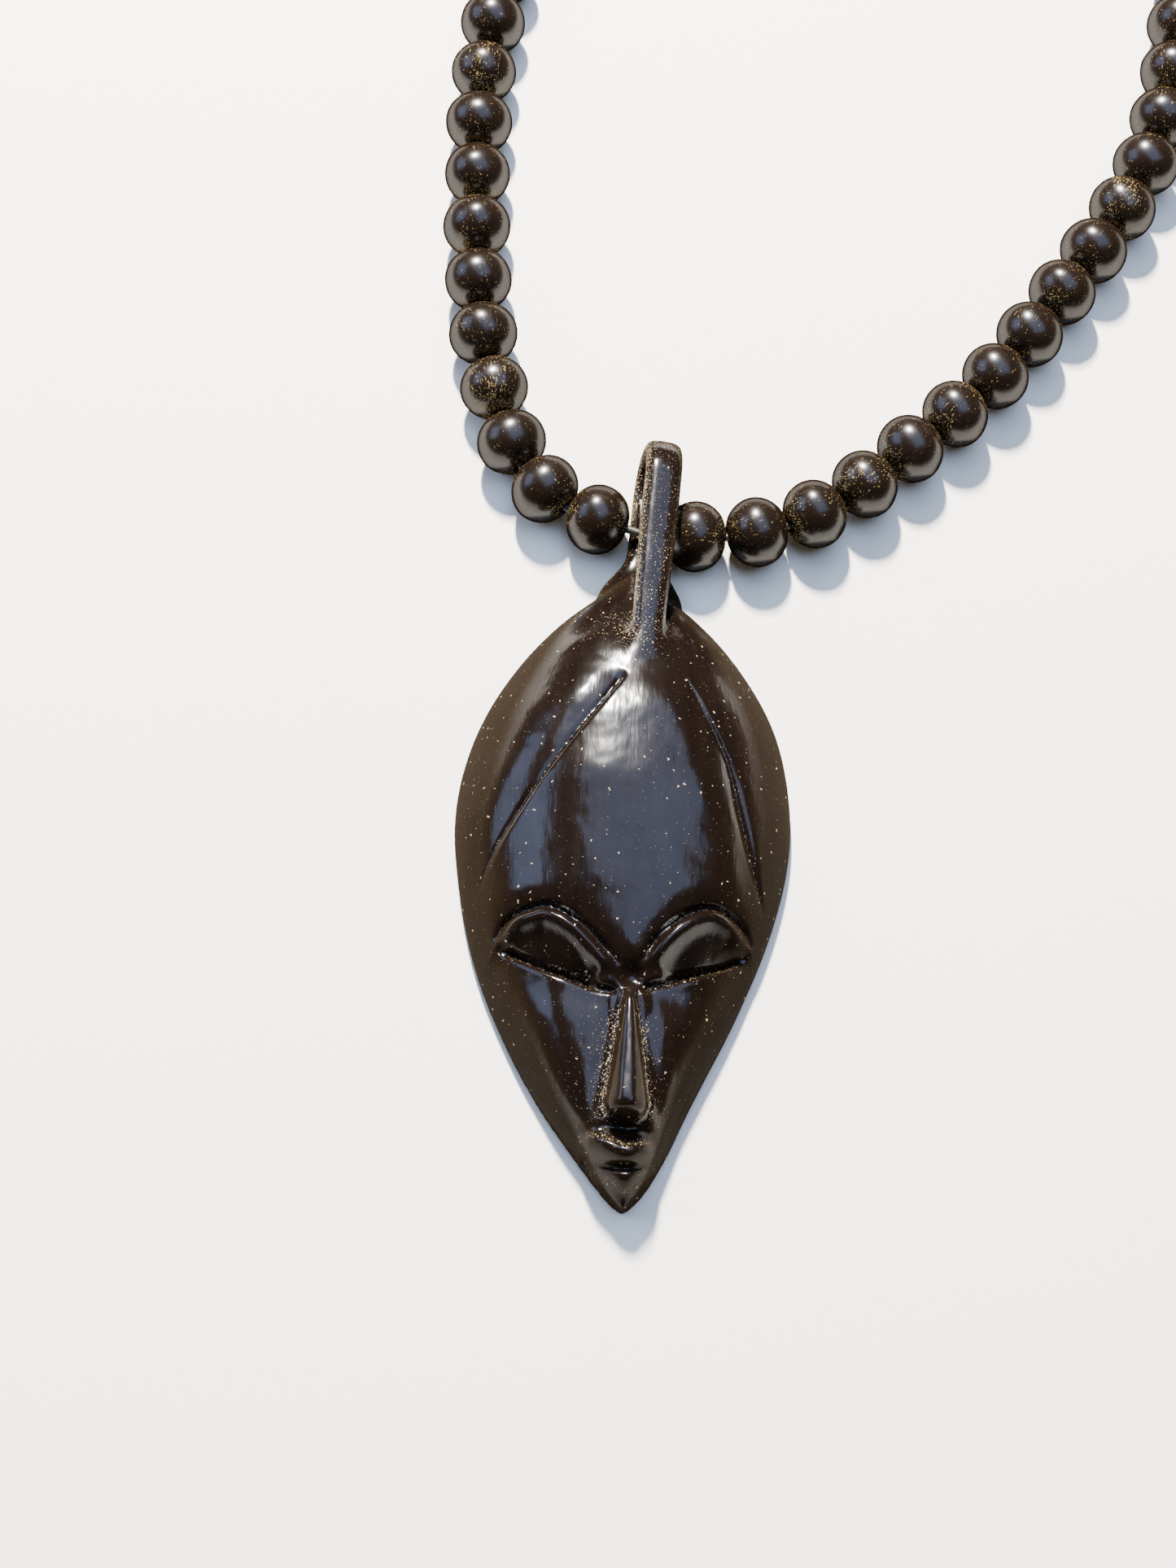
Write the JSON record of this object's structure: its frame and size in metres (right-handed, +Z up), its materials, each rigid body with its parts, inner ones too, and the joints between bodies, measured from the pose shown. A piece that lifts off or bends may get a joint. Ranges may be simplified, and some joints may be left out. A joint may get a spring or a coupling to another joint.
{
  "type": "bead necklace with carved mask pendant",
  "caption": "Short strand of dark round wooden beads carrying a carved African-style mask pendant on its own loop, with an opening clasp, laid flat.",
  "frame": {"origin": "on the pendant's flat back, below the mask's widest line", "axes": "+Y from the chin to the strand, +Z up from the surface it lies on, +X to the right as seen facing the mask from the chin"},
  "size_m": [0.1015, 0.2459, 0.0129],
  "materials": {
    "carved_ebony": "polished near-black carved wood with dust in its cuts",
    "bead_wood": "polished near-black turned wood, fine grain and pits",
    "black_cord": "waxed braided cord",
    "brass": "polished brass",
    "magnet_steel": "nickel-plated magnet"
  },
  "bodies": {
    "strand": {"cord_front": "black_cord"},
    "pendant": {"pendant": "carved_ebony"},
    "arm_left": {"beads_left_side": "bead_wood", "cord_left_side": "black_cord"},
    "arm_left_top": {"beads_left_top": "bead_wood", "cord_left_top": "black_cord", "clasp_cup_left": "brass", "clasp_magnet_left": "magnet_steel"},
    "arm_right": {"beads_right_side": "bead_wood", "cord_right_side": "black_cord"},
    "arm_right_top": {"beads_right_top": "bead_wood", "cord_right_top": "black_cord", "clasp_cup_right": "brass", "clasp_magnet_right": "magnet_steel"},
    "bead_left_01": {"bead_left_01": "bead_wood"},
    "bead_left_02": {"bead_left_02": "bead_wood"},
    "bead_left_03": {"bead_left_03": "bead_wood"},
    "bead_left_04": {"bead_left_04": "bead_wood"},
    "bead_left_05": {"bead_left_05": "bead_wood"},
    "bead_left_06": {"bead_left_06": "bead_wood"},
    "bead_left_07": {"bead_left_07": "bead_wood"},
    "bead_left_08": {"bead_left_08": "bead_wood"},
    "bead_left_09": {"bead_left_09": "bead_wood"},
    "bead_left_10": {"bead_left_10": "bead_wood"},
    "bead_left_11": {"bead_left_11": "bead_wood"},
    "bead_right_01": {"bead_right_01": "bead_wood"},
    "bead_right_02": {"bead_right_02": "bead_wood"},
    "bead_right_03": {"bead_right_03": "bead_wood"},
    "bead_right_04": {"bead_right_04": "bead_wood"},
    "bead_right_05": {"bead_right_05": "bead_wood"},
    "bead_right_06": {"bead_right_06": "bead_wood"},
    "bead_right_07": {"bead_right_07": "bead_wood"},
    "bead_right_08": {"bead_right_08": "bead_wood"},
    "bead_right_09": {"bead_right_09": "bead_wood"},
    "bead_right_10": {"bead_right_10": "bead_wood"},
    "bead_right_11": {"bead_right_11": "bead_wood"},
    "bead_right_12": {"bead_right_12": "bead_wood"},
    "bead_right_13": {"bead_right_13": "bead_wood"},
    "bead_right_14": {"bead_right_14": "bead_wood"},
    "bead_right_15": {"bead_right_15": "bead_wood"}
  },
  "joints": [
    {"name": "arm_left_open", "type": "hinge", "parent": "strand", "child": "arm_left", "pos_m": [-0.01905, 0.10961, 0.004], "axis": [0, 0, 1], "range_deg": [0, 25]},
    {"name": "arm_left_top_open", "type": "hinge", "parent": "arm_left", "child": "arm_left_top", "pos_m": [-0.01541, 0.1692, 0.004], "axis": [0, 0, 1], "range_deg": [0, 25]},
    {"name": "arm_right_open", "type": "hinge", "parent": "strand", "child": "arm_right", "pos_m": [0.06731, 0.11283, 0.004], "axis": [0, 0, -1], "range_deg": [0, 25]},
    {"name": "arm_right_top_open", "type": "hinge", "parent": "arm_right", "child": "arm_right_top", "pos_m": [0.07312, 0.17053, 0.004], "axis": [0, 0, -1], "range_deg": [0, 25]},
    {"name": "bail_swing", "type": "hinge", "parent": "strand", "child": "pendant", "pos_m": [0.0012, 0.0355, 0.004], "axis": [-1, 0, 0], "range_deg": [0, 110]},
    {"name": "bead_left_01_spin", "type": "hinge", "parent": "strand", "child": "bead_left_01", "pos_m": [-0.00432, 0.03729, 0.004], "axis": [-0.9511, 0.309, 0], "continuous": true},
    {"name": "bead_left_02_spin", "type": "hinge", "parent": "strand", "child": "bead_left_02", "pos_m": [-0.01058, 0.04098, 0.004], "axis": [-0.7314, 0.682, 0], "continuous": true},
    {"name": "bead_left_03_spin", "type": "hinge", "parent": "strand", "child": "bead_left_03", "pos_m": [-0.0147, 0.04698, 0.004], "axis": [-0.3746, 0.9272, 0], "continuous": true},
    {"name": "bead_left_04_spin", "type": "hinge", "parent": "strand", "child": "bead_left_04", "pos_m": [-0.01706, 0.05403, 0.004], "axis": [-0.2588, 0.9659, 0], "continuous": true},
    {"name": "bead_left_05_spin", "type": "hinge", "parent": "strand", "child": "bead_left_05", "pos_m": [-0.01867, 0.0613, 0.004], "axis": [-0.1736, 0.9848, 0], "continuous": true},
    {"name": "bead_left_06_spin", "type": "hinge", "parent": "strand", "child": "bead_left_06", "pos_m": [-0.01964, 0.06868, 0.004], "axis": [-0.0872, 0.9962, 0], "continuous": true},
    {"name": "bead_left_07_spin", "type": "hinge", "parent": "strand", "child": "bead_left_07", "pos_m": [-0.02016, 0.07611, 0.004], "axis": [-0.0523, 0.9986, 0], "continuous": true},
    {"name": "bead_left_08_spin", "type": "hinge", "parent": "strand", "child": "bead_left_08", "pos_m": [-0.02049, 0.08355, 0.004], "axis": [-0.0349, 0.9994, 0], "continuous": true},
    {"name": "bead_left_09_spin", "type": "hinge", "parent": "strand", "child": "bead_left_09", "pos_m": [-0.02062, 0.091, 0.004], "axis": [0, 1, 0], "continuous": true},
    {"name": "bead_left_10_spin", "type": "hinge", "parent": "strand", "child": "bead_left_10", "pos_m": [-0.02036, 0.09844, 0.004], "axis": [0.0698, 0.9976, 0], "continuous": true},
    {"name": "bead_left_11_spin", "type": "hinge", "parent": "strand", "child": "bead_left_11", "pos_m": [-0.01958, 0.10584, 0.004], "axis": [0.1392, 0.9903, 0], "continuous": true},
    {"name": "bead_right_01_spin", "type": "hinge", "parent": "strand", "child": "bead_right_01", "pos_m": [0.007, 0.0355, 0.004], "axis": [1, 0, 0], "continuous": true},
    {"name": "bead_right_02_spin", "type": "hinge", "parent": "strand", "child": "bead_right_02", "pos_m": [0.01409, 0.03637, 0.004], "axis": [0.9703, 0.2419, 0], "continuous": true},
    {"name": "bead_right_03_spin", "type": "hinge", "parent": "strand", "child": "bead_right_03", "pos_m": [0.02076, 0.03893, 0.004], "axis": [0.8829, 0.4695, 0], "continuous": true},
    {"name": "bead_right_04_spin", "type": "hinge", "parent": "strand", "child": "bead_right_04", "pos_m": [0.02662, 0.04303, 0.004], "axis": [0.7431, 0.6691, 0], "continuous": true},
    {"name": "bead_right_05_spin", "type": "hinge", "parent": "strand", "child": "bead_right_05", "pos_m": [0.03197, 0.04785, 0.004], "axis": [0.7431, 0.6691, 0], "continuous": true},
    {"name": "bead_right_06_spin", "type": "hinge", "parent": "strand", "child": "bead_right_06", "pos_m": [0.03732, 0.05267, 0.004], "axis": [0.7431, 0.6691, 0], "continuous": true},
    {"name": "bead_right_07_spin", "type": "hinge", "parent": "strand", "child": "bead_right_07", "pos_m": [0.04221, 0.05791, 0.004], "axis": [0.6157, 0.788, 0], "continuous": true},
    {"name": "bead_right_08_spin", "type": "hinge", "parent": "strand", "child": "bead_right_08", "pos_m": [0.04644, 0.06373, 0.004], "axis": [0.5592, 0.829, 0], "continuous": true},
    {"name": "bead_right_09_spin", "type": "hinge", "parent": "strand", "child": "bead_right_09", "pos_m": [0.05052, 0.06967, 0.004], "axis": [0.5736, 0.8192, 0], "continuous": true},
    {"name": "bead_right_10_spin", "type": "hinge", "parent": "strand", "child": "bead_right_10", "pos_m": [0.05454, 0.07564, 0.004], "axis": [0.5446, 0.8387, 0], "continuous": true},
    {"name": "bead_right_11_spin", "type": "hinge", "parent": "strand", "child": "bead_right_11", "pos_m": [0.05831, 0.08177, 0.004], "axis": [0.5, 0.866, 0], "continuous": true},
    {"name": "bead_right_12_spin", "type": "hinge", "parent": "strand", "child": "bead_right_12", "pos_m": [0.06151, 0.0882, 0.004], "axis": [0.3907, 0.9205, 0], "continuous": true},
    {"name": "bead_right_13_spin", "type": "hinge", "parent": "strand", "child": "bead_right_13", "pos_m": [0.06391, 0.09498, 0.004], "axis": [0.2756, 0.9613, 0], "continuous": true},
    {"name": "bead_right_14_spin", "type": "hinge", "parent": "strand", "child": "bead_right_14", "pos_m": [0.06559, 0.10197, 0.004], "axis": [0.1908, 0.9816, 0], "continuous": true},
    {"name": "bead_right_15_spin", "type": "hinge", "parent": "strand", "child": "bead_right_15", "pos_m": [0.06678, 0.10907, 0.004], "axis": [0.1392, 0.9903, 0], "continuous": true}
  ],
  "couplings": [
    {"joint": "arm_left_top_open", "follows": "arm_left_open", "ratio": 1},
    {"joint": "arm_right_top_open", "follows": "arm_right_open", "ratio": 1}
  ]
}
